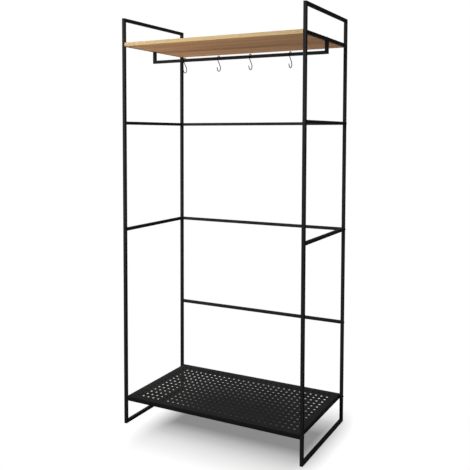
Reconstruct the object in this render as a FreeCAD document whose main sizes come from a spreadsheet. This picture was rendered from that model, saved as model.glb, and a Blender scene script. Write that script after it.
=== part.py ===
import FreeCAD, Part
import math
import os

# Open frame wardrobe. Two welded side frames of square steel tube stand on the floor. Three back bars,
# a perforated steel shelf near the floor and an oak board near the top hold them apart. A hanging rail
# with a leg at each end hangs under the board, and four wire hooks slide along it.
# Millimetres. X runs to the right, Y to the rear, Z up. The origin is on the floor, at mid width and depth.

SIZES = {
    # The frame.
    "width": 950,
    "depth": 550,
    "height": 2000,
    "tube_side": 15,
    "tube_wall": 1.2,
    # The bars that carry the board and the upper bars, down from the top of the frame: to their top
    # and to their centre line. The middle and lower bars, up from the floor to their centre line.
    "shelf_bar_drop": 120,
    "upper_bar_drop": 505,
    "middle_bar_height": 973,
    "lower_bar_height": 506,
    # The oak board, flush with the underside of its bars.
    "board_thickness": 18,
    "board_edge_chamfer": 1,
    # The hanging rail: its underside below the underside of the board's bars.
    "rail_drop": 59,
    # The perforated shelf: a folded steel sheet with returned lips.
    "tray_top": 140,
    "tray_flange": 22,
    "tray_lip": 15,
    "sheet_thickness": 1.2,
    "hole_width": 10,
    "hole_pitch_across": 28.8,
    "hole_pitch_back": 35.3,
    "hole_border": 40,
    # Bolts, plugs, nuts and screws.
    "bolt_diameter": 6,
    "bolt_bite": 14,
    "bolt_head_width": 10.5,
    "bolt_head_height": 3,
    "bore_clearance": 0.3,
    "plug_length": 20,
    "plug_clearance": 0.1,
    "nut_width": 10,
    "nut_thickness": 5,
    "screw_diameter": 4,
    "screw_bite": 30,
    "screw_head_width": 8,
    "screw_head_height": 2.5,
    "screw_inset": 60,
    # The wire hooks and where they hang along the rail.
    "wire_diameter": 4,
    "hook_shank": 32.4,
    "hook_loop_slack": 0.9,
    "hook_bowl_radius": 15,
    "hook_clearance": 0.3,
    "hook_place_one": -285,
    "hook_place_two": -90,
    "hook_place_three": 83,
    "hook_place_four": 290,
}

SMALL_ROUND_SIDES = 6
WIRE_SIDES = 8
HOOK_BEND_STEP = 30.0
HOOK_END_ANGLE = -10.0
HOOK_TIP_ANGLE = -185.0
HANDS = {"left": -1, "right": 1}
ENDS = {"front": -1, "rear": 1}
HOOK_PLACES = ("one", "two", "three", "four")

doc = FreeCAD.newDocument("OpenFrameWardrobe")
sheet = doc.addObject("Spreadsheet::Sheet", "Sizes")
for row, (alias, value) in enumerate(SIZES.items(), start=1):
    sheet.set(f"A{row}", alias.replace("_", " "))
    sheet.set(f"B{row}", str(value))
    sheet.setAlias(f"B{row}", alias)
doc.recompute()

nodes = []

# Directions that a sub-part's own axes take in the wardrobe.
RIGHT = FreeCAD.Vector(1, 0, 0)
REAR = FreeCAD.Vector(0, 1, 0)
UP = FreeCAD.Vector(0, 0, 1)

# Expressions that several sub-parts share.
SIDE = "Sizes.tube_side"
WALL = "Sizes.tube_wall"
MIDDLE = "Sizes.tube_side / 2"
INNER_WIDTH = "(Sizes.width - 2 * Sizes.tube_side)"
INNER_DEPTH = "(Sizes.depth - 2 * Sizes.tube_side)"
SHELF_BAR_TOP = "(Sizes.height - Sizes.shelf_bar_drop)"
SHELF_BAR_UNDERSIDE = f"({SHELF_BAR_TOP} - Sizes.tube_side)"
RAIL_UNDERSIDE = f"({SHELF_BAR_UNDERSIDE} - Sizes.rail_drop)"
TRAY_BOLT_HEIGHT = "(Sizes.tray_top - Sizes.tray_flange / 2)"
BOLT_BORE = "Sizes.bolt_diameter / 2 + Sizes.bore_clearance"
SCREW_BORE = "Sizes.screw_diameter / 2 + Sizes.bore_clearance"
TUBE_BOLT_LENGTH = "Sizes.tube_side + Sizes.bolt_bite"
SCREW_REACH = "(Sizes.depth / 2 - Sizes.screw_inset)"
BACK_BAR_HEIGHTS = {
    "upper": "(Sizes.height - Sizes.upper_bar_drop)",
    "middle": "Sizes.middle_bar_height",
    "lower": "Sizes.lower_bar_height",
}


def size(alias):
    """A driving dimension as a number, for shapes that follow a formula."""
    return float(sheet.get(alias))


def bind(obj, **expressions):
    for name, expression in expressions.items():
        obj.setExpression(name, expression)
    return obj


def turned(first, second):
    """The rotation that lays an object's own X along first and its own Y along second."""
    return FreeCAD.Rotation(first, second, first.cross(second), "XYZ")


def seat(obj, x, y, z, rotation=FreeCAD.Rotation()):
    obj.Placement = FreeCAD.Placement(FreeCAD.Vector(), rotation)
    for axis, expression in zip("xyz", (x, y, z)):
        obj.setExpression(f".Placement.Base.{axis}", expression)
    return obj


def node(obj, label):
    obj.Label = label
    nodes.append(obj)
    return obj


def box(name, length, width, height, x="0", y="0", z="0"):
    return seat(bind(doc.addObject("Part::Box", name), Length=length, Width=width, Height=height), x, y, z)


def prism(name, radius, length, x="0", y="0", z="0", rotation=FreeCAD.Rotation()):
    """A small round bar or bore, drawn with few sides."""
    bar = doc.addObject("Part::Prism", name)
    bar.Polygon = SMALL_ROUND_SIDES
    return seat(bind(bar, Circumradius=radius, Height=length), x, y, z, rotation)


def cut(name, base, tools):
    tool = tools[0]
    if len(tools) > 1:
        tool = doc.addObject("Part::MultiFuse", f"{name}_cuts")
        tool.Shapes = tools
    result = doc.addObject("Part::Cut", name)
    result.Base = base
    result.Tool = tool
    return result


def bore_across(name, radius, along):
    """A bore through both walls of a tube, across the plane of its side frame."""
    return prism(name, radius, SIDE, along, MIDDLE, "0")


def bore_upright(name, radius, along):
    """A bore through both walls of a level tube, from top to bottom."""
    return prism(name, radius, SIDE, along, "0", MIDDLE, turned(RIGHT, -UP))


def tube(label, length, mitre_start=False, mitre_end=False, bores=()):
    """A hollow square tube along its own X. Its longer side lies at Y = 0 where an end is mitred."""
    blank = doc.addObject("Part::Wedge", f"{label}_blank")
    bind(blank, Xmin="0", Ymin="0", Zmin="0", Z2min="0", Xmax=length, Ymax=SIDE, Zmax=SIDE, Z2max=SIDE)
    bind(blank, X2min=SIDE if mitre_start else "0", X2max=f"{length} - {SIDE}" if mitre_end else length)
    hollow_side = f"{SIDE} - 2 * {WALL}"
    hollow = box(f"{label}_hollow", length, hollow_side, hollow_side, "0", WALL, WALL)
    return node(cut(label, blank, [hollow, *bores]), label)


def bolt(name, kind, length, x, y, z, rotation):
    """A bolt or screw whose head seats at its own Z = 0 and whose shank runs along +Z."""
    head = prism(f"{name}_head", f"Sizes.{kind}_head_width / 2", f"Sizes.{kind}_head_height",
                 z=f"-Sizes.{kind}_head_height")
    shank = prism(f"{name}_shank", f"Sizes.{kind}_diameter / 2", length)
    whole = doc.addObject("Part::Fuse", name)
    whole.Base = head
    whole.Tool = shank
    return seat(whole, x, y, z, rotation)


def plug(name, x, y, z, rotation):
    """A threaded square plug in the end of a tube, from its own Z = 0 along +Z."""
    side = "(Sizes.tube_side - 2 * Sizes.tube_wall - 2 * Sizes.plug_clearance)"
    blank = box(f"{name}_blank", side, side, "Sizes.plug_length", f"-{side} / 2", f"-{side} / 2")
    thread = prism(f"{name}_thread", BOLT_BORE, "Sizes.plug_length")
    return seat(cut(name, blank, [thread]), x, y, z, rotation)


def nut(name, x, y, z, rotation):
    """A hexagon nut, from its own Z = 0 along +Z."""
    blank = prism(f"{name}_blank", "Sizes.nut_width / 2 / cos(30)", "Sizes.nut_thickness")
    thread = prism(f"{name}_thread", BOLT_BORE, "Sizes.nut_thickness")
    return seat(cut(name, blank, [thread]), x, y, z, rotation)


def group(label, members):
    together = doc.addObject("Part::Compound", label)
    together.Links = members
    return node(together, label)


def side_frame(hand, sign):
    """Seven tubes in one upright plane, mitred at the four corners."""
    low_x = "-Sizes.width / 2" if sign < 0 else f"Sizes.width / 2 - {SIDE}"
    high_x = f"{low_x} + {SIDE}"
    front = "-Sizes.depth / 2"
    rear = "Sizes.depth / 2"

    tray_bore = bore_across(f"{hand}_front_tray_bore", BOLT_BORE, TRAY_BOLT_HEIGHT)
    upright = tube(f"{hand}_front_upright", "Sizes.height", True, True, [tray_bore])
    seat(upright, high_x, front, "0", turned(UP, REAR))

    rear_bores = [bore_across(f"{hand}_rear_tray_bore", BOLT_BORE, TRAY_BOLT_HEIGHT)]
    for level, bar_height in BACK_BAR_HEIGHTS.items():
        rear_bores.append(bore_across(f"{hand}_{level}_back_bore", BOLT_BORE, bar_height))
    upright = tube(f"{hand}_rear_upright", "Sizes.height", True, True, rear_bores)
    seat(upright, low_x, rear, "0", turned(UP, -REAR))

    top = tube(f"{hand}_top_bar", "Sizes.depth", True, True)
    seat(top, high_x, front, "Sizes.height", turned(REAR, -UP))
    foot = tube(f"{hand}_foot_bar", "Sizes.depth", True, True)
    seat(foot, low_x, front, "0", turned(REAR, UP))

    shelf_bores = [bore_upright(f"{hand}_rail_bore", BOLT_BORE, f"{INNER_DEPTH} / 2")]
    for end, toward in ENDS.items():
        along = f"{INNER_DEPTH} / 2 + {toward} * {SCREW_REACH}"
        shelf_bores.append(bore_across(f"{hand}_{end}_screw_bore", SCREW_BORE, along))
    levels = {
        "shelf_bar": (SHELF_BAR_UNDERSIDE, shelf_bores),
        "upper_side_bar": (f"{BACK_BAR_HEIGHTS['upper']} - {MIDDLE}", []),
        "middle_side_bar": (f"{BACK_BAR_HEIGHTS['middle']} - {MIDDLE}", []),
    }
    for name, (underside, bores) in levels.items():
        bar = tube(f"{hand}_{name}", INNER_DEPTH, bores=bores)
        seat(bar, low_x, f"{front} + {SIDE}", underside, turned(REAR, UP))


def back_bars():
    """Three level tubes between the rear uprights, with a threaded plug and a bolt at each end."""
    plugs = []
    bolts = []
    centre_y = f"Sizes.depth / 2 - {MIDDLE}"
    for level, bar_height in BACK_BAR_HEIGHTS.items():
        bar = tube(f"{level}_back_bar", INNER_WIDTH)
        seat(bar, f"-{INNER_WIDTH} / 2", f"Sizes.depth / 2 - {SIDE}", f"{bar_height} - {MIDDLE}")
        for hand, sign in HANDS.items():
            inward = turned(UP * sign, REAR)
            name = f"{hand}_{level}_back"
            bar_end = f"{sign} * {INNER_WIDTH} / 2"
            plugs.append(plug(f"{name}_plug", bar_end, centre_y, bar_height, inward))
            face = f"{sign} * Sizes.width / 2"
            bolts.append(bolt(f"{name}_bolt", "bolt", TUBE_BOLT_LENGTH, face, centre_y, bar_height, inward))
    group("back_bar_plugs", plugs)
    group("back_bar_bolts", bolts)


def hanging_rail():
    """A level tube with a mitred leg at each end, bolted up against the bars that carry the board."""
    rail = tube("hanging_rail", "Sizes.width", True, True)
    seat(rail, "-Sizes.width / 2", MIDDLE, RAIL_UNDERSIDE, turned(RIGHT, UP))
    plugs = []
    bolts = []
    for hand, sign in HANDS.items():
        leg = tube(f"{hand}_rail_leg", "Sizes.rail_drop", True, False)
        outer_x = f"{sign} * Sizes.width / 2"
        seat(leg, outer_x, f"{sign} * {MIDDLE}", RAIL_UNDERSIDE, turned(UP, RIGHT * -sign))
        x = f"{sign} * (Sizes.width / 2 - {MIDDLE})"
        downward = turned(REAR, RIGHT)
        plugs.append(plug(f"{hand}_rail_plug", x, "0", SHELF_BAR_UNDERSIDE, downward))
        bolts.append(bolt(f"{hand}_rail_bolt", "bolt", TUBE_BOLT_LENGTH, x, "0", SHELF_BAR_TOP, downward))
    group("rail_plugs", plugs)
    group("rail_bolts", bolts)


def wooden_shelf():
    """The oak board between the side frames, held by two screws through each of its bars."""
    blank = box("wooden_shelf_blank", INNER_WIDTH, "Sizes.depth", "Sizes.board_thickness")
    eased = doc.addObject("Part::Chamfer", "wooden_shelf_eased")
    eased.Base = blank
    doc.recompute()
    chamfer = size("board_edge_chamfer")
    long_edges = [number for number, edge in enumerate(blank.Shape.Edges, start=1)
                  if abs(edge.BoundBox.XLength - blank.Length.Value) < chamfer / 2]
    eased.Edges = [(number, chamfer, chamfer) for number in long_edges]

    screws = []
    pilots = []
    pilot_length = "Sizes.screw_bite + Sizes.bore_clearance"
    screw_length = f"{SIDE} + Sizes.screw_bite"
    screw_height = f"{SHELF_BAR_UNDERSIDE} + {MIDDLE}"
    for hand, sign in HANDS.items():
        inward = turned(UP * sign, REAR)
        board_end = "0" if sign < 0 else INNER_WIDTH
        face = f"{sign} * Sizes.width / 2"
        for end, toward in ENDS.items():
            name = f"{hand}_{end}_screw"
            y = f"{toward} * {SCREW_REACH}"
            along = f"Sizes.depth / 2 + {y}"
            pilot = prism(f"{name}_pilot", SCREW_BORE, pilot_length, board_end, along, MIDDLE, inward)
            pilots.append(pilot)
            screws.append(bolt(name, "screw", screw_length, face, y, screw_height, inward))
    board = node(cut("wooden_shelf", eased, pilots), "wooden_shelf")
    seat(board, f"-{INNER_WIDTH} / 2", "-Sizes.depth / 2", SHELF_BAR_UNDERSIDE)
    group("shelf_screws", screws)


def polygon_at(x, y, z, radius):
    """A closed outline of a small round hole, running clockwise seen from above."""
    turn = -2 * math.pi / SMALL_ROUND_SIDES
    corners = [FreeCAD.Vector(x + radius * math.cos(turn * k), y + radius * math.sin(turn * k), z)
               for k in range(SMALL_ROUND_SIDES)]
    return Part.makePolygon(corners + corners[:1])


def spaced(extent, pitch, border):
    """Places at an even pitch, centred, as many as fit inside the border."""
    count = math.floor((extent - 2 * border) / pitch) + 1
    return [(k - (count - 1) / 2) * pitch for k in range(count)]


def perforated_shelf():
    """One sheet with a grid of holes, its four edges folded down and returned inwards as lips."""
    across = size("width") - 2 * size("tube_side")
    back = size("depth")
    thickness = size("sheet_thickness")
    top = size("tray_top")
    flange = size("tray_flange")
    lip = size("tray_lip")

    def slab(inset, low, high):
        corner = FreeCAD.Vector(inset - across / 2, inset - back / 2, low)
        return Part.makeBox(across - 2 * inset, back - 2 * inset, high - low, corner)

    rim = slab(0, top - flange, top - thickness)
    rim = rim.cut(slab(thickness, top - flange + thickness, top - thickness))
    rim = rim.cut(slab(lip, top - flange, top - flange + thickness))
    bore_radius = size("bolt_diameter") / 2 + size("bore_clearance")
    bolt_y = back / 2 - size("tube_side") / 2
    for toward in ENDS.values():
        outline = polygon_at(0, 0, 0, bore_radius)
        mouth = FreeCAD.Vector(-across / 2, toward * bolt_y, top - flange / 2)
        outline.Placement = FreeCAD.Placement(mouth, turned(-UP, REAR))
        rim = rim.cut(Part.Face(outline).extrude(RIGHT * across))

    # The sheet is drawn in bands across the shelf, one for each row of holes.
    columns = spaced(across, size("hole_pitch_across"), size("hole_border"))
    rows = spaced(back, size("hole_pitch_back"), size("hole_border"))
    seams = [-back / 2] + [(near + far) / 2 for near, far in zip(rows, rows[1:])] + [back / 2]
    panel_low = top - thickness
    bands = []
    for y, near, far in zip(rows, seams, seams[1:]):
        border = [(-across / 2, near), (across / 2, near), (across / 2, far), (-across / 2, far)]
        corners = [FreeCAD.Vector(corner_x, corner_y, panel_low) for corner_x, corner_y in border]
        outlines = [Part.makePolygon(corners + corners[:1])]
        outlines += [polygon_at(x, y, panel_low, size("hole_width") / 2) for x in columns]
        bands.append(Part.Face(outlines).extrude(UP * thickness))

    tray = doc.addObject("Part::Feature", "perforated_shelf")
    tray.Shape = rim.fuse(bands).Solids[0]
    node(tray, "perforated_shelf")

    nuts = []
    bolts = []
    length = f"{SIDE} + Sizes.sheet_thickness + Sizes.nut_thickness"
    for hand, sign in HANDS.items():
        inward = turned(UP * sign, REAR)
        face = f"{sign} * Sizes.width / 2"
        inner_face = f"{sign} * ({INNER_WIDTH} / 2 - Sizes.sheet_thickness)"
        for end, toward in ENDS.items():
            name = f"{hand}_{end}_tray"
            y = f"{toward} * (Sizes.depth / 2 - {MIDDLE})"
            nuts.append(nut(f"{name}_nut", inner_face, y, TRAY_BOLT_HEIGHT, inward))
            bolts.append(bolt(f"{name}_bolt", "bolt", length, face, y, TRAY_BOLT_HEIGHT, inward))
    group("tray_nuts", nuts)
    group("tray_bolts", bolts)


def bend(centre, radius, start, end):
    """Corners of the straight runs that follow an arc, each run touching the arc at its middle."""
    runs = math.ceil(abs(end - start) / HOOK_BEND_STEP)
    step = (end - start) / runs
    reach = radius / math.cos(math.radians(step / 2))
    angles = [math.radians(start + (k + 0.5) * step) for k in range(runs)]
    return [centre + FreeCAD.Vector(0, reach * math.cos(a), reach * math.sin(a)) for a in angles]


def on_circle(centre, radius, degrees):
    angle = math.radians(degrees)
    return centre + FreeCAD.Vector(0, radius * math.cos(angle), radius * math.sin(angle))


def hook_shape():
    """An S of round wire in the plane across the rail, about the rail's centre line."""
    wire = size("wire_diameter")
    half = size("tube_side") / 2
    loop_radius = math.hypot(half, half) + size("hook_loop_slack")
    reach = loop_radius - size("hook_clearance")
    top_centre = UP * (half - math.sqrt(reach ** 2 - half ** 2))
    top_radius = loop_radius + wire / 2
    bowl_radius = size("hook_bowl_radius") + wire / 2
    bowl_centre = top_centre - UP * math.hypot(top_radius + bowl_radius, size("hook_shank"))
    slant = math.degrees(math.atan2(top_radius + bowl_radius, size("hook_shank")))

    points = [on_circle(top_centre, top_radius, HOOK_END_ANGLE)]
    points += bend(top_centre, top_radius, HOOK_END_ANGLE, 180 + slant)
    points += bend(bowl_centre, bowl_radius, slant, HOOK_TIP_ANGLE)
    points.append(on_circle(bowl_centre, bowl_radius, HOOK_TIP_ANGLE))
    path = Part.makePolygon(points)

    along = (points[1] - points[0]).normalize()
    outward = RIGHT.cross(along)
    corner_radius = wire / 2 / math.cos(math.pi / WIRE_SIDES)
    corners = []
    for k in range(WIRE_SIDES):
        angle = 2 * math.pi * (k + 0.5) / WIRE_SIDES
        corners.append(points[0] + (RIGHT * math.cos(angle) + outward * math.sin(angle)) * corner_radius)
    profile = Part.makePolygon(corners + corners[:1])
    right_corners = 1
    return path.makePipeShell([profile], True, False, right_corners)


def hooks():
    shape = hook_shape()
    rail_centre = f"{RAIL_UNDERSIDE} + {MIDDLE}"
    for place in HOOK_PLACES:
        hook = doc.addObject("Part::Feature", f"s_hook_{place}")
        hook.Shape = shape
        seat(node(hook, f"s_hook_{place}"), f"Sizes.hook_place_{place}", "0", rail_centre)


for hand, sign in HANDS.items():
    side_frame(hand, sign)
back_bars()
hanging_rail()
wooden_shelf()
perforated_shelf()
hooks()
doc.recompute()

for obj in doc.Objects:
    if "Invalid" in obj.State or "Error" in obj.State:
        raise RuntimeError(f"{obj.Label} failed: {obj.State}")
for obj in nodes:
    if obj.Shape.isNull() or not obj.Shape.isValid():
        raise RuntimeError(f"{obj.Label} has no valid shape")

os.makedirs("parts", exist_ok=True)
for obj in nodes:
    obj.Shape.exportStep(f"parts/{obj.Label}.step")
print(f"{len(nodes)} sub-parts, {sum(len(obj.Shape.Solids) for obj in nodes)} solids")
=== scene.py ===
import math

import bmesh
import bpy
from mathutils import Matrix, Vector


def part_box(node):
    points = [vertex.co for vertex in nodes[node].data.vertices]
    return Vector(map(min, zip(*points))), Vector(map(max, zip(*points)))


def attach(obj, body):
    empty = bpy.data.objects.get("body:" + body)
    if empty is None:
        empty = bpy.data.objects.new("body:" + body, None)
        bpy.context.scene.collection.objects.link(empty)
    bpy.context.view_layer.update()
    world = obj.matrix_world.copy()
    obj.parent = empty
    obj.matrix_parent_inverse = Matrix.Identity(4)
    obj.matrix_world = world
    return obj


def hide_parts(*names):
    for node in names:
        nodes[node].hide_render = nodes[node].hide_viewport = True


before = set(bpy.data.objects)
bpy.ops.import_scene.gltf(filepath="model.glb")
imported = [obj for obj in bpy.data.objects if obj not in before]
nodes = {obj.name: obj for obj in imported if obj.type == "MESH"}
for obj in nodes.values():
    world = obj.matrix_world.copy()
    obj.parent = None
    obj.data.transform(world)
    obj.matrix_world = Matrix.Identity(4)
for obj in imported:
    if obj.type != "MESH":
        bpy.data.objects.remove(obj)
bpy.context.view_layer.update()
scene = bpy.context.scene
scene.view_settings.view_transform = "Standard"

RIGHT = Vector((1, 0, 0))
REAR = Vector((0, 1, 0))
UP = Vector((0, 0, 1))

# Sizes that the solids have too. Lengths are in metres and angles in degrees.
TUBE_SIDE = 0.015
SHEET = 0.0012
TRAY_LIP = 0.015
HOLE_RADIUS = 0.005
HOLE_PITCH_ACROSS = 0.0288
HOLE_PITCH_BACK = 0.0353
HOLE_COLUMNS = 30
HOLE_ROWS = 14
BOLT_LENGTH = 0.029
TRAY_BOLT_LENGTH = 0.0212
SCREW_LENGTH = 0.045
SCREW_FROM_MIDDLE = 0.215
WIRE_RADIUS = 0.002
HOOK_SHANK = 0.0324
HOOK_LOOP_SLACK = 0.0009
HOOK_CLEARANCE = 0.0003
HOOK_BOWL_RADIUS = 0.015
HOOK_LOOP_START = -10.0
HOOK_BOWL_END = -185.0

# Heads and shanks are as in the solids. Only the scene has their sockets, given by the width across flats.
BOLT = {"head_radius": 0.00525, "head_height": 0.003, "shank_radius": 0.003, "flats": 0.004}
SCREW = {"head_radius": 0.004, "head_height": 0.0025, "shank_radius": 0.002, "flats": 0.0025}

# Sizes and counts that only the scene has.
TUBE_CORNER = 0.0010
SHEET_BEND = 0.0022
SHEET_CORNER = 0.003
LEAST_CORNER = 0.0003
PUNCH_EASE = 0.0003
WELD_LEG = 0.0022
WELD_LENGTH = TUBE_SIDE - 2 * TUBE_CORNER
WELD_STEPS = 16
HOLE_SIDES = 16
WIRE_SIDES = 16
HEAD_SIDES = 24
HOOK_ARC_STEP = 7.5

# Across a weld bead: shares of its leg along one face and along the other.
WELD_PROFILE = ((1.0, 0.0), (0.52, 0.20), (0.20, 0.52), (0.0, 1.0), (0.0, 0.0))
# From a button head's rim to its socket: shares of its radius and of its height.
HEAD_PROFILE = ((1.0, 0.0), (1.0, 0.14), (0.965, 0.36), (0.87, 0.62), (0.72, 0.84), (0.56, 0.97), (0.50, 1.0))
# At the end of a wire: shares of its radius, and how far in they lie, in radii.
WIRE_END = ((0.60, 0.0), (0.87, 0.12), (0.98, 0.34), (1.0, 0.5))


# Materials

def feed(tree, node, inputs):
    """Sets a node's inputs to values, or links them to sockets."""
    for key, value in inputs.items():
        if isinstance(value, bpy.types.NodeSocket):
            tree.links.new(value, node.inputs[key])
        else:
            node.inputs[key].default_value = value


def add(tree, kind, inputs=None, **settings):
    """A new node with its settings and inputs."""
    made = tree.nodes.new(kind)
    for key, value in settings.items():
        setattr(made, key, value)
    feed(tree, made, inputs or {})
    return made


def new_material(name):
    """A material with its node tree, its shader and a texture coordinate in the object's own space."""
    material = bpy.data.materials.new(name)
    material.use_nodes = True
    tree = material.node_tree
    shader = tree.nodes["Principled BSDF"]
    coords = add(tree, "ShaderNodeTexCoord").outputs["Object"]
    return material, tree, shader, coords


def vector_math(tree, operation, *operands):
    """A vector node with its operands in order."""
    return add(tree, "ShaderNodeVectorMath", dict(enumerate(operands)), operation=operation).outputs


def stretched(tree, coords, scale):
    """Coordinates scaled along each axis."""
    return add(tree, "ShaderNodeMapping", {"Vector": coords, "Scale": scale}).outputs["Vector"]


def noise(tree, coords, scale, detail=3.0, roughness=0.5):
    """Soft noise from 0 to 1."""
    made = add(tree, "ShaderNodeTexNoise", {"Vector": coords, "Scale": scale, "Detail": detail,
                                            "Roughness": roughness, "Distortion": 0.0})
    return made.outputs["Fac"]


def ramp(tree, factor, stops):
    """A colour ramp from (place, colour) pairs; a number stands for a grey."""
    made = add(tree, "ShaderNodeValToRGB", {"Fac": factor})
    points = made.color_ramp.elements
    while len(points) < len(stops):
        points.new(0.5)
    for point, (place, colour) in zip(points, stops):
        point.position = place
        grey = isinstance(colour, (int, float))
        point.color = (colour, colour, colour, 1) if grey else (*colour, 1)
    return made.outputs["Color"]


def mixed(tree, factor, first, second, blend="MIX"):
    """Two colours mixed by a factor. A mix node's colours are its inputs 6 and 7 and its output 2."""
    made = add(tree, "ShaderNodeMix", data_type="RGBA", blend_type=blend)
    for socket, value in ((made.inputs[0], factor), (made.inputs[6], first), (made.inputs[7], second)):
        if isinstance(value, bpy.types.NodeSocket):
            tree.links.new(value, socket)
        elif socket.type == "RGBA":
            socket.default_value = (*value, 1)
        else:
            socket.default_value = value
    return made.outputs[2]


def bump(tree, height, strength, distance, normal=None):
    """A normal bent by a height, on top of another normal if one is given."""
    made = add(tree, "ShaderNodeBump", {"Height": height, "Strength": strength, "Distance": distance})
    if normal is not None:
        tree.links.new(normal, made.inputs["Normal"])
    return made.outputs["Normal"]


def edge_mask(tree, radius):
    """About 1 along sharp edges and 0 on faces, from the angle between the face and its rounded normal."""
    rounded = add(tree, "ShaderNodeBevel", {"Radius": radius}, samples=4).outputs["Normal"]
    flat = add(tree, "ShaderNodeNewGeometry").outputs["Normal"]
    turn = vector_math(tree, "DOT_PRODUCT", rounded, flat)["Value"]
    return ramp(tree, turn, [(0.86, 1.0), (0.985, 0.0)])


def powder_coat(name, colour, worn, grain):
    """Matt powder coat: a fine pebbled skin, a slow drift in tone, and edges rubbed a little paler."""
    material, tree, shader, coords = new_material(name)
    drift = ramp(tree, noise(tree, coords, 7.0, 4.0), [(0.30, 0.88), (0.70, 1.12)])
    skin = mixed(tree, 1.0, colour, drift, "MULTIPLY")
    rub = ramp(tree, noise(tree, coords, 90.0, 4.0, 0.65), [(0.56, 0.0), (0.76, 1.0)])
    wear = mixed(tree, edge_mask(tree, 0.0012), (0, 0, 0), rub)
    pebbles = noise(tree, coords, grain, 2.0, 0.6)
    feed(tree, shader, {
        "Base Color": mixed(tree, wear, skin, worn),
        "Roughness": ramp(tree, pebbles, [(0.3, 0.46), (0.7, 0.62)]),
        "Normal": bump(tree, pebbles, 0.22, 0.0003),
        "Specular IOR Level": 0.002,
    })
    return material


def oak():
    """Oak along X: broad bands, growth lines and short open pores. The edges are paler than the faces."""
    material, tree, shader, coords = new_material("oak")
    wander = noise(tree, stretched(tree, coords, (1.1, 9.0, 9.0)), 1.0, 3.0, 0.55)
    place = vector_math(tree, "MULTIPLY_ADD", wander, (0.0, 0.050, 0.050), coords)["Vector"]
    bands = noise(tree, stretched(tree, place, (0.55, 16.0, 16.0)), 1.0, 2.0, 0.5)
    rings = noise(tree, stretched(tree, place, (0.9, 120.0, 120.0)), 1.0, 3.0, 0.55)
    fibres = noise(tree, stretched(tree, place, (9.0, 900.0, 900.0)), 1.0, 2.0, 0.5)
    pores = noise(tree, stretched(tree, place, (26.0, 1500.0, 1500.0)), 1.0, 1.0, 0.4)
    face = ramp(tree, bands, [(0.30, (0.50, 0.247, 0.108)), (0.52, (0.58, 0.301, 0.137)),
                              (0.72, (0.63, 0.341, 0.161))])
    edge = ramp(tree, bands, [(0.30, (0.56, 0.403, 0.200)), (0.52, (0.62, 0.459, 0.235)),
                              (0.72, (0.66, 0.494, 0.259))])
    normal = add(tree, "ShaderNodeNewGeometry").outputs["Normal"]
    level = vector_math(tree, "DOT_PRODUCT", normal, UP)["Value"]
    flat = add(tree, "ShaderNodeMath", {0: level}, operation="ABSOLUTE").outputs["Value"]
    broad = mixed(tree, ramp(tree, flat, [(0.2, 0.0), (0.8, 1.0)]), edge, face)
    lines = ramp(tree, rings, [(0.34, 0.86), (0.55, 1.01), (0.75, 1.06)])
    grained = mixed(tree, 0.85, broad, lines, "MULTIPLY")
    hair = ramp(tree, fibres, [(0.35, 0.90), (0.65, 1.05)])
    grained = mixed(tree, 0.8, grained, hair, "MULTIPLY")
    open_pores = ramp(tree, pores, [(0.655, 0.0), (0.72, 1.0)])
    fine = bump(tree, fibres, 0.12, 0.0002)
    feed(tree, shader, {
        "Base Color": mixed(tree, open_pores, grained, (0.30, 0.185, 0.095)),
        "Roughness": ramp(tree, rings, [(0.3, 0.72), (0.7, 0.60)]),
        "Normal": bump(tree, open_pores, -0.15, 0.0002, fine),
        "Specular IOR Level": 0.06,
    })
    return material


def drawn_wire():
    """Dark steel wire with fine drawing marks and patches a little paler than the rest."""
    material, tree, shader, coords = new_material("hook_wire")
    marks = noise(tree, stretched(tree, coords, (900.0, 160.0, 160.0)), 1.0, 3.0, 0.6)
    patches = noise(tree, coords, 70.0, 3.0, 0.6)
    tone = ramp(tree, patches, [(0.35, (0.006, 0.006, 0.0062)), (0.70, (0.013, 0.013, 0.0134))])
    streaks = ramp(tree, marks, [(0.3, 0.8), (0.7, 1.2)])
    feed(tree, shader, {
        "Base Color": mixed(tree, 1.0, tone, streaks, "MULTIPLY"),
        "Roughness": ramp(tree, marks, [(0.3, 0.40), (0.7, 0.56)]),
        "Normal": bump(tree, marks, 0.10, 0.0001),
        "Specular IOR Level": 0.01,
    })
    return material


def zinc():
    """Zinc plate: pale, with soft cloudy patches and fine scratches."""
    material, tree, shader, coords = new_material("zinc_steel")
    clouds = noise(tree, coords, 260.0, 3.0, 0.6)
    scratches = noise(tree, stretched(tree, coords, (2400.0, 2400.0, 240.0)), 1.0, 2.0, 0.5)
    feed(tree, shader, {
        "Base Color": ramp(tree, clouds, [(0.3, (0.46, 0.47, 0.48)), (0.7, (0.62, 0.62, 0.63))]),
        "Roughness": ramp(tree, scratches, [(0.3, 0.28), (0.7, 0.46)]),
        "Normal": bump(tree, scratches, 0.15, 0.0001),
        "Metallic": 1.0,
    })
    return material


STEEL = powder_coat("black_steel", (0.0280, 0.0280, 0.0281), (0.0400, 0.0398, 0.0395), 900.0)
SHEET_COAT = powder_coat("black_sheet", (0.0195, 0.0195, 0.0191), (0.0290, 0.0288, 0.0285), 1000.0)
BOLT_BLACK = powder_coat("black_bolts", (0.0100, 0.0100, 0.0102), (0.040, 0.0395, 0.039), 1400.0)
OAK = oak()
WIRE = drawn_wire()
ZINC = zinc()


# Pieces

def piece(mesh, name, body, material, replaced=(), smooth_angle=35.0):
    """Turns a bmesh into a piece that rides on a body and stands for CAD nodes."""
    bmesh.ops.remove_doubles(mesh, verts=mesh.verts, dist=1e-7)
    bmesh.ops.recalc_face_normals(mesh, faces=mesh.faces)
    data = bpy.data.meshes.new(name)
    mesh.to_mesh(data)
    mesh.free()
    data.materials.append(material)
    data.shade_smooth()
    data.set_sharp_from_angle(angle=math.radians(smooth_angle))
    made = bpy.data.objects.new(name, data)
    scene.collection.objects.link(made)
    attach(made, body)
    if replaced:
        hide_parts(*replaced)


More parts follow.
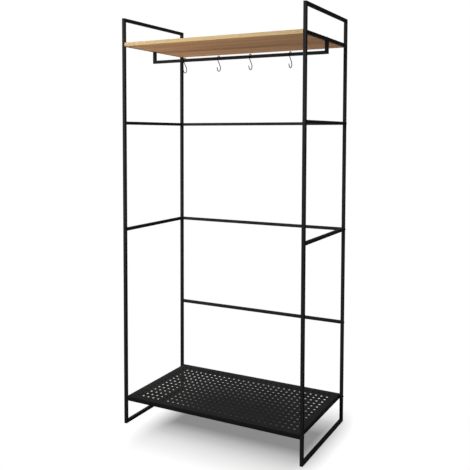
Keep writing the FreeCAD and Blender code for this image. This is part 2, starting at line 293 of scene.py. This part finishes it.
def circle(sides):
    """Angles of the corners of a regular polygon, in radians."""
    return [2 * math.pi * k / sides for k in range(sides)]


def bridge(mesh, first, second):
    """Quads between two loops of vertices that have the same count."""
    count = len(first)
    for k in range(count):
        n = (k + 1) % count
        mesh.faces.new((first[k], first[n], second[n], second[k]))


def skin_over(mesh, loops):
    """Quads between each loop of vertices and the next."""
    for near, far in zip(loops, loops[1:]):
        bridge(mesh, near, far)


def fan(mesh, loop):
    """Closes a loop with triangles round its middle."""
    middle = mesh.verts.new(sum((vert.co for vert in loop), Vector()) / len(loop))
    for near, far in zip(loop, loop[1:] + loop[:1]):
        mesh.faces.new((near, far, middle))


def rounded_square(side, radius, steps=4):
    """Points (a, b) round a square from 0 to side, with rounded corners."""
    points = []
    for corner, (a, b) in enumerate(((side, side), (0, side), (0, 0), (side, 0))):
        centre_a = a - math.copysign(radius, a - side / 2)
        centre_b = b - math.copysign(radius, b - side / 2)
        for k in range(steps + 1):
            angle = math.radians(90 * corner + 90 * k / steps)
            points.append((centre_a + radius * math.cos(angle), centre_b + radius * math.sin(angle)))
    return points


def tube(node, along, inward, mitre_start=False, mitre_end=False):
    """A square tube with rounded edges in place of a CAD tube. inward points from its longer side."""
    low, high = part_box(node)
    across = Vector([abs(c) for c in along.cross(inward)])
    origin = Vector([low[k] if along[k] + inward[k] + across[k] > 0 else high[k] for k in range(3)])
    length = abs((high - low).dot(along))
    mesh = bmesh.new()
    loops = []
    for end in (0, 1):
        loop = []
        for a, b in rounded_square(TUBE_SIDE, TUBE_CORNER):
            reach = length * end
            if end == 0 and mitre_start:
                reach += a
            if end == 1 and mitre_end:
                reach -= a
            loop.append(mesh.verts.new(origin + along * reach + inward * a + across * b))
        loops.append(loop)
    bridge(mesh, *loops)
    for loop in loops:
        mesh.faces.new(loop)
    piece(mesh, f"{node}_tube", "frame", STEEL, [node])


def weld(mesh, corner, along, first, second):
    """A small fillet weld along an inside corner, between faces that run off along first and second."""
    rows = []
    for k in range(WELD_STEPS + 1):
        share = k / WELD_STEPS
        # The bead swells and thins along its way, and tapers at both ends.
        swell = 1 + 0.10 * math.sin(share * 31.0) + 0.05 * math.sin(share * 57.0 + 1.0)
        taper = min(1.0, 6 * min(share, 1 - share) + 0.25)
        reach = WELD_LEG * swell * taper
        spot = corner + along * (WELD_LENGTH * (share - 0.5))
        rows.append([mesh.verts.new(spot + first * (a * reach) + second * (b * reach))
                     for a, b in WELD_PROFILE])
    skin_over(mesh, rows)
    mesh.faces.new(rows[0])
    mesh.faces.new(rows[-1])


def side_frame(hand):
    """Seven tubes of one side, with welds in the inside corners."""
    tube(f"{hand}_front_upright", UP, REAR, True, True)
    tube(f"{hand}_rear_upright", UP, -REAR, True, True)
    tube(f"{hand}_top_bar", REAR, -UP, True, True)
    tube(f"{hand}_foot_bar", REAR, UP, True, True)
    bars = [f"{hand}_{name}" for name in ("shelf_bar", "upper_side_bar", "middle_side_bar")]
    for bar in bars:
        tube(bar, REAR, UP)
    welds = bmesh.new()
    for bar in bars:
        low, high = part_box(bar)
        x = (low.x + high.x) / 2
        for y, inward in ((low.y, REAR), (high.y, -REAR)):
            weld(welds, Vector((x, y, high.z)), RIGHT, UP, inward)
            weld(welds, Vector((x, y, low.z)), RIGHT, -UP, inward)
    foot_low, foot_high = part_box(f"{hand}_foot_bar")
    top_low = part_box(f"{hand}_top_bar")[0]
    x = (foot_low.x + foot_high.x) / 2
    for y, inward in ((foot_low.y + TUBE_SIDE, REAR), (foot_high.y - TUBE_SIDE, -REAR)):
        weld(welds, Vector((x, y, foot_high.z)), RIGHT, UP, inward)
        weld(welds, Vector((x, y, top_low.z)), RIGHT, -UP, inward)
    piece(welds, f"{hand}_frame_welds", "frame", STEEL, smooth_angle=60.0)


def hanging_rail():
    """The rail and its two legs, with welds in the inside corners."""
    tube("hanging_rail", RIGHT, UP, True, True)
    tube("left_rail_leg", UP, RIGHT, True, False)
    tube("right_rail_leg", UP, -RIGHT, True, False)
    low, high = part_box("hanging_rail")
    welds = bmesh.new()
    for x, inward in ((low.x + TUBE_SIDE, RIGHT), (high.x - TUBE_SIDE, -RIGHT)):
        weld(welds, Vector((x, 0, high.z)), REAR, UP, inward)
    piece(welds, "rail_welds", "frame", STEEL, smooth_angle=60.0)


def rounded_ring(mesh, half_x, half_y, radius, z, steps=4):
    """A level loop of vertices round a rectangle with rounded corners, with four runs of corner points."""
    loop = []
    for corner, (sx, sy) in enumerate(((1, 1), (-1, 1), (-1, -1), (1, -1))):
        centre = Vector((sx * (half_x - radius), sy * (half_y - radius), z))
        for k in range(steps + 1):
            angle = math.radians(90 * corner + 90 * k / steps)
            loop.append(mesh.verts.new(centre + Vector((math.cos(angle), math.sin(angle), 0)) * radius))
    return loop


def folded_edge(top, bottom, steps=4):
    """Inset and height of points from the top face, down the flange, round the lip and back up inside."""
    upper = top - SHEET_BEND
    lower = bottom + SHEET_BEND
    inner = SHEET_BEND - SHEET

    def arc(z, radius, start, end):
        angles = [math.radians(start + (end - start) * k / steps) for k in range(steps + 1)]
        return [(SHEET_BEND - radius * math.cos(a), z + radius * math.sin(a)) for a in angles]

    lip = [(TRAY_LIP, bottom), (TRAY_LIP, bottom + SHEET)]
    outside_bends = arc(upper, SHEET_BEND, 90, 0) + arc(lower, SHEET_BEND, 0, -90)
    inside_bends = arc(lower, inner, -90, 0) + arc(upper, inner, 0, 90)
    return outside_bends + lip + inside_bends


def grid_marks(count, pitch):
    """Where the outer cells of the grid of holes have points, along one side of the grid."""
    slope = math.tan(2 * math.pi / HOLE_SIDES)
    places = [-count * pitch / 2]
    for k in range(count):
        middle = (k - (count - 1) / 2) * pitch
        places += [middle + pitch / 2 * share for share in (-slope, 0.0, slope, 1.0)]
    return places


def sheet_border(mesh, ring, z):
    """The flat of the sheet between a ring round its edge and the grid of holes."""
    along_x = grid_marks(HOLE_COLUMNS, HOLE_PITCH_ACROSS)
    along_y = grid_marks(HOLE_ROWS, HOLE_PITCH_BACK)
    grid_x = along_x[-1]
    grid_y = along_y[-1]
    grid_sides = ([(x, grid_y, z) for x in reversed(along_x)],
                  [(-grid_x, y, z) for y in reversed(along_y)],
                  [(x, -grid_y, z) for x in along_x],
                  [(grid_x, y, z) for y in along_y])
    run = len(ring) // 4
    for side, places in enumerate(grid_sides):
        inner = [mesh.verts.new(place) for place in places]
        points = ring[side * run:(side + 1) * run]
        for near, far in zip(points, points[1:]):
            mesh.faces.new((inner[0], near, far))
        first = points[-1]
        second = ring[(side + 1) % 4 * run]
        half = len(inner) // 2
        for near, far in zip(inner[:half], inner[1:half + 1]):
            mesh.faces.new((first, far, near))
        mesh.faces.new((first, second, inner[half]))
        for near, far in zip(inner[half:], inner[half + 1:]):
            mesh.faces.new((second, far, near))


def hole_cell(mesh, x, y, top):
    """One cell of the sheet round its hole, with the punched edge eased above and below."""
    under = top - SHEET
    levels = ((HOLE_RADIUS + PUNCH_EASE, top), (HOLE_RADIUS, top - PUNCH_EASE),
              (HOLE_RADIUS, under + PUNCH_EASE), (HOLE_RADIUS + PUNCH_EASE, under))
    angles = circle(HOLE_SIDES)
    loops = []
    for radius, z in levels:
        loops.append([mesh.verts.new((x + radius * math.cos(a), y + radius * math.sin(a), z))
                      for a in angles])
    for z, loop in ((top, loops[0]), (under, loops[-1])):
        border = []
        for a in angles:
            reach = max(abs(math.cos(a)), abs(math.sin(a)))
            border.append(mesh.verts.new((x + HOLE_PITCH_ACROSS / 2 * math.cos(a) / reach,
                                          y + HOLE_PITCH_BACK / 2 * math.sin(a) / reach, z)))
        bridge(mesh, border, loop)
    skin_over(mesh, loops)


def perforated_shelf():
    """A folded sheet with round punched holes, rounded bends, flanges and returned lips."""
    low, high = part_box("perforated_shelf")
    half_x = (high.x - low.x) / 2
    half_y = (high.y - low.y) / 2
    mesh = bmesh.new()
    rings = []
    for inset, z in folded_edge(high.z, low.z):
        corner = max(SHEET_CORNER - inset, LEAST_CORNER)
        rings.append(rounded_ring(mesh, half_x - inset, half_y - inset, corner, z))
    skin_over(mesh, rings)
    sheet_border(mesh, rings[0], high.z)
    sheet_border(mesh, rings[-1], high.z - SHEET)
    for column in range(HOLE_COLUMNS):
        x = (column - (HOLE_COLUMNS - 1) / 2) * HOLE_PITCH_ACROSS
        for row in range(HOLE_ROWS):
            y = (row - (HOLE_ROWS - 1) / 2) * HOLE_PITCH_BACK
            hole_cell(mesh, x, y, high.z)
    piece(mesh, "perforated_shelf_sheet", "frame", SHEET_COAT, ["perforated_shelf"], 40.0)


def socket_radius(flats, angle):
    """Distance from the middle of a hexagon socket to its wall."""
    turn = (math.degrees(angle) + 30) % 60 - 30
    return flats / 2 / math.cos(math.radians(turn))


def button_bolt(mesh, seat, outward, length, head_radius, head_height, shank_radius, flats):
    """A button head with a hexagon socket, and the shank that goes into the tube."""
    side = outward.orthogonal().normalized()
    other = outward.cross(side)

    def loop(radius, height):
        middle = seat + outward * height
        return [mesh.verts.new(middle + (side * math.cos(a) + other * math.sin(a)) * radius(a))
                for a in circle(HEAD_SIDES)]

    loops = [loop(lambda a: shank_radius, -length), loop(lambda a: shank_radius, 0.0)]
    loops += [loop(lambda a, share=share: share * head_radius, rise * head_height)
              for share, rise in HEAD_PROFILE]
    # The socket has a narrow bevel at its mouth and ends inside the head.
    loops.append(loop(lambda a: socket_radius(flats, a) * 1.06, head_height))
    loops.append(loop(lambda a: socket_radius(flats, a), head_height * 0.92))
    loops.append(loop(lambda a: socket_radius(flats, a), head_height * 0.40))
    skin_over(mesh, loops)
    fan(mesh, loops[0])
    fan(mesh, loops[-1])


def middle_height(node):
    """The height of a CAD node's middle."""
    low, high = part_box(node)
    return (low.z + high.z) / 2


def bolts():
    """The bolts of the back bars, the perforated shelf and the rail, and the screws of the oak board."""
    outer = abs(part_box("left_front_upright")[0].x)
    rear_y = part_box("left_rear_upright")[1].y - TUBE_SIDE / 2
    heights = [middle_height(f"{level}_back_bar") for level in ("upper", "middle", "lower")]
    tray_z = middle_height("perforated_shelf")
    screw_z = middle_height("left_shelf_bar")
    bar_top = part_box("left_shelf_bar")[1].z
    groups = {name: bmesh.new() for name in ("back_bar_bolts", "tray_bolts", "rail_bolts", "shelf_screws")}
    for sign in (-1, 1):
        outward = RIGHT * sign
        face = sign * outer
        for z in heights:
            button_bolt(groups["back_bar_bolts"], Vector((face, rear_y, z)), outward, BOLT_LENGTH, **BOLT)
        for y in (-rear_y, rear_y):
            button_bolt(groups["tray_bolts"], Vector((face, y, tray_z)), outward, TRAY_BOLT_LENGTH, **BOLT)
        for y in (-SCREW_FROM_MIDDLE, SCREW_FROM_MIDDLE):
            button_bolt(groups["shelf_screws"], Vector((face, y, screw_z)), outward, SCREW_LENGTH, **SCREW)
        rail_bolt_x = sign * (outer - TUBE_SIDE / 2)
        button_bolt(groups["rail_bolts"], Vector((rail_bolt_x, 0, bar_top)), UP, BOLT_LENGTH, **BOLT)
    for name, mesh in groups.items():
        piece(mesh, f"{name}_heads", "frame", BOLT_BLACK, [name], 40.0)


def hook_line(x, rail_z):
    """Points and headings of a hook's middle line: a loop over the rail, a straight shank and a bowl."""
    half = TUBE_SIDE / 2
    loop_radius = math.hypot(half, half) + HOOK_LOOP_SLACK
    reach = loop_radius - HOOK_CLEARANCE
    top_z = rail_z + half - math.sqrt(reach ** 2 - half ** 2)
    top_radius = loop_radius + WIRE_RADIUS
    bowl_radius = HOOK_BOWL_RADIUS + WIRE_RADIUS
    bowl_z = top_z - math.hypot(top_radius + bowl_radius, HOOK_SHANK)
    slant = math.degrees(math.atan2(top_radius + bowl_radius, HOOK_SHANK))
    line = []

    def arc(z, radius, start, end):
        steps = math.ceil(abs(end - start) / HOOK_ARC_STEP)
        way = 1 if end > start else -1
        for k in range(steps + 1):
            angle = math.radians(start + (end - start) * k / steps)
            spot = Vector((x, radius * math.cos(angle), z + radius * math.sin(angle)))
            line.append((spot, Vector((0, -math.sin(angle), math.cos(angle))) * way))

    arc(top_z, top_radius, HOOK_LOOP_START, 180 + slant)
    arc(bowl_z, bowl_radius, slant, HOOK_BOWL_END)
    return line


def hook(place):
    """A round wire S in the plane across the rail, with rounded ends."""
    node = f"s_hook_{place}"
    low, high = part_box(node)
    line = hook_line((low.x + high.x) / 2, middle_height("hanging_rail"))
    mesh = bmesh.new()

    def ring(spot, heading, share=1.0):
        outward = heading.cross(RIGHT)
        return [mesh.verts.new(spot + (RIGHT * math.cos(a) + outward * math.sin(a)) * (WIRE_RADIUS * share))
                for a in circle(WIRE_SIDES)]

    start, start_heading = line[0]
    end, end_heading = line[-1]
    rings = [ring(start + start_heading * (WIRE_RADIUS * inset), start_heading, share)
             for share, inset in WIRE_END]
    rings += [ring(spot, heading) for spot, heading in line[1:-1]]
    rings += [ring(end - end_heading * (WIRE_RADIUS * inset), end_heading, share)
              for share, inset in reversed(WIRE_END)]
    skin_over(mesh, rings)
    mesh.faces.new(rings[0])
    mesh.faces.new(rings[-1])
    piece(mesh, f"{node}_wire", f"hook_{place}", WIRE, [node], 60.0)


for hand in ("left", "right"):
    side_frame(hand)
for level in ("upper", "middle", "lower"):
    tube(f"{level}_back_bar", RIGHT, REAR)
hanging_rail()
perforated_shelf()
bolts()
for place in ("one", "two", "three", "four"):
    hook(place)

SHOWN_NODES = {"wooden_shelf": OAK, "back_bar_plugs": ZINC, "rail_plugs": ZINC, "tray_nuts": ZINC}
for name, material in SHOWN_NODES.items():
    slots = nodes[name].data.materials
    slots.clear()
    slots.append(material)


# Floor, light and camera

WHITE_LIGHT = 1.0
FILL_LIGHT = 0.13
FLOOR_HALF_SIDE = 7.0
# The grey floor's matt tone and its own light, a painted glow that lifts its shadows; the light left in the
# painted shadow under the shelf; and the tone for other rays.
FLOOR_GREY = 0.30
PAINTED_FLOOR_GLOW = 0.235
PAINTED_SHADOW_GLOW = 0.04
FLOOR_BOUNCE = 0.17
# Two parts of the floor: low and high corner, then the widths of the fade on the low and on the high side.
# The first is the grey floor, whose fade to white is partly a painted soft edge of the shadow; the second is
# a painted shadow under and behind the shelf.
GREY_FLOOR_WITH_PAINTED_SHADE = ((-0.264, -0.130), (0.420, 0.070), (0.135, 0.370), (0.135, 0.370))
PAINTED_SHELF_SHADOW = ((-0.100, 0.120), (0.110, 0.120), (0.500, 0.150), (0.250, 0.520))


def direct_ray(tree):
    """1 for rays from the camera, a reflection or glass, and 0 for rays that only carry light."""
    path = add(tree, "ShaderNodeLightPath").outputs
    seen = path["Is Camera Ray"]
    for kind in ("Is Glossy Ray", "Is Transmission Ray"):
        seen = add(tree, "ShaderNodeMath", {0: seen, 1: path[kind]}, operation="MAXIMUM").outputs["Value"]
    return seen


def outside(tree, coords, low, high, low_fade, high_fade):
    """How far a place on the floor lies outside a rectangle, in widths of the fade on that side."""
    below = add(tree, "ShaderNodeMapping", {
        "Vector": coords,
        "Scale": (-1 / low_fade[0], -1 / low_fade[1], 1.0),
        "Location": (low[0] / low_fade[0], low[1] / low_fade[1], 0.0),
    }).outputs["Vector"]
    above = add(tree, "ShaderNodeMapping", {
        "Vector": coords,
        "Scale": (1 / high_fade[0], 1 / high_fade[1], 1.0),
        "Location": (-high[0] / high_fade[0], -high[1] / high_fade[1], 0.0),
    }).outputs["Vector"]
    nearest = vector_math(tree, "MAXIMUM", below, above)["Vector"]
    beyond = vector_math(tree, "MAXIMUM", nearest, (0.0, 0.0, 0.0))["Vector"]
    return vector_math(tree, "LENGTH", beyond)["Value"]


def emission(tree, strength):
    """White light of its own."""
    return add(tree, "ShaderNodeEmission", {"Color": (1, 1, 1, 1), "Strength": strength}).outputs["Emission"]


def diffuse(tree, grey):
    """A matt grey."""
    return add(tree, "ShaderNodeBsdfDiffuse", {"Color": (grey, grey, grey, 1)}).outputs["BSDF"]


def either(tree, factor, first, second):
    """Two shaders mixed by a factor."""
    return add(tree, "ShaderNodeMixShader", {0: factor, 1: first, 2: second}).outputs["Shader"]


def floor_material():
    """Pale grey under and in front of the wardrobe, with a painted glow and a painted soft edge to its
    shadow, white further off, and a painted shadow, dim, under and behind its shelf.
    """
    material = bpy.data.materials.new("floor")
    material.use_nodes = True
    tree = material.node_tree
    tree.nodes.clear()
    coords = add(tree, "ShaderNodeTexCoord").outputs["Object"]
    # The grey floor catches the lamps' real shadows; its painted glow and its fade to white stand in for
    # light and for the soft edge of the shadow.
    away = outside(tree, coords, *GREY_FLOOR_WITH_PAINTED_SHADE)
    fade = add(tree, "ShaderNodeMapRange", {"Value": away}).outputs["Result"]
    matt = diffuse(tree, FLOOR_GREY)
    lit = add(tree, "ShaderNodeAddShader", {0: matt, 1: emission(tree, PAINTED_FLOOR_GLOW)}).outputs["Shader"]
    seen = either(tree, fade, lit, emission(tree, WHITE_LIGHT))
    # Painted shadow: the floor is dim under and behind the shelf, whatever the lamps do.
    away = outside(tree, coords, *PAINTED_SHELF_SHADOW)
    clear = add(tree, "ShaderNodeMath", {0: away, 1: 2.0}, operation="POWER", use_clamp=True).outputs["Value"]
    seen = either(tree, clear, emission(tree, PAINTED_SHADOW_GLOW), seen)
    both = either(tree, direct_ray(tree), diffuse(tree, FLOOR_BOUNCE), seen)
    add(tree, "ShaderNodeOutputMaterial", {"Surface": both})
    return material


def floor():
    """A pale floor that fades into the white of the backdrop away from the wardrobe."""
    mesh = bmesh.new()
    bmesh.ops.create_grid(mesh, x_segments=2, y_segments=2, size=FLOOR_HALF_SIDE)
    data = bpy.data.meshes.new("floor")
    mesh.to_mesh(data)
    mesh.free()
    made = bpy.data.objects.new("floor", data)
    scene.collection.objects.link(made)
    data.materials.append(floor_material())


def backdrop():
    """White where the camera, a reflection or glass sees it, and a dim even fill as light."""
    world = bpy.data.worlds.new("backdrop")
    scene.world = world
    world.use_nodes = True
    tree = world.node_tree
    tree.nodes.clear()
    fill, white = [add(tree, "ShaderNodeBackground", {"Color": (1, 1, 1, 1), "Strength": strength}).outputs[0]
                   for strength in (FILL_LIGHT, WHITE_LIGHT)]
    add(tree, "ShaderNodeOutputWorld", {"Surface": either(tree, direct_ray(tree), fill, white)})


def lamp(name, kind, place, target, energy, **settings):
    """A lamp at a place, aimed at a target."""
    data = bpy.data.lights.new(name, kind)
    data.energy = energy
    for key, value in settings.items():
        setattr(data, key, value)
    made = bpy.data.objects.new(name, data)
    made.location = place
    made.rotation_mode = "QUATERNION"
    made.rotation_quaternion = (Vector(target) - Vector(place)).to_track_quat("-Z", "Y")
    scene.collection.objects.link(made)


def camera():
    """The photograph's viewpoint, from a fit of one camera to the frame's edges."""
    place = (1.54332, -3.018903, 1.440897)
    yaw = math.radians(28.763)
    pitch = math.radians(-3.191)
    roll = math.radians(0.071)
    # Focal length, the point that the camera looks at, and the side of the picture, in pixels.
    focal = 690.708
    centre_u = 214.478
    centre_v = 172.750
    image = 470.0
    forward = Vector((-math.sin(yaw) * math.cos(pitch), math.cos(yaw) * math.cos(pitch), math.sin(pitch)))
    level = forward.cross(UP).normalized()
    upright = level.cross(forward)
    across = level * math.cos(roll) + upright * math.sin(roll)
    above = upright * math.cos(roll) - level * math.sin(roll)
    data = bpy.data.cameras.new("camera")
    data.sensor_width = 36.0
    data.lens = focal / image * data.sensor_width
    data.shift_x = (image / 2 - centre_u) / image
    data.shift_y = (centre_v - image / 2) / image
    data.clip_start = 0.05
    data.clip_end = 60.0
    made = bpy.data.objects.new("camera", data)
    turn = Matrix((across, above, -forward)).transposed()
    made.matrix_world = Matrix.Translation(place) @ turn.to_4x4()
    scene.collection.objects.link(made)
    scene.camera = made


floor()
backdrop()
lamp("key", "AREA", place=(-0.2, -2.0, 2.35), target=(0.0, 0.0, 1.7), energy=30.0, shape="SQUARE", size=1.3)
lamp("top", "SUN", place=(-0.30, 0.4, 3.0), target=(0.0, 0.0, 0.0), energy=1.2, angle=math.radians(30.0))
lamp("left", "AREA", place=(-3.0, -0.3, 2.3), target=(0.0, 0.0, 0.3), energy=100.0,
     shape="RECTANGLE", size=3.2, size_y=1.6)
lamp("low", "AREA", place=(-2.0, -0.7, 0.3), target=(-0.2, 0.0, 1.86), energy=11.0,
     shape="SQUARE", size=1.3, spread=math.radians(80.0))
camera()
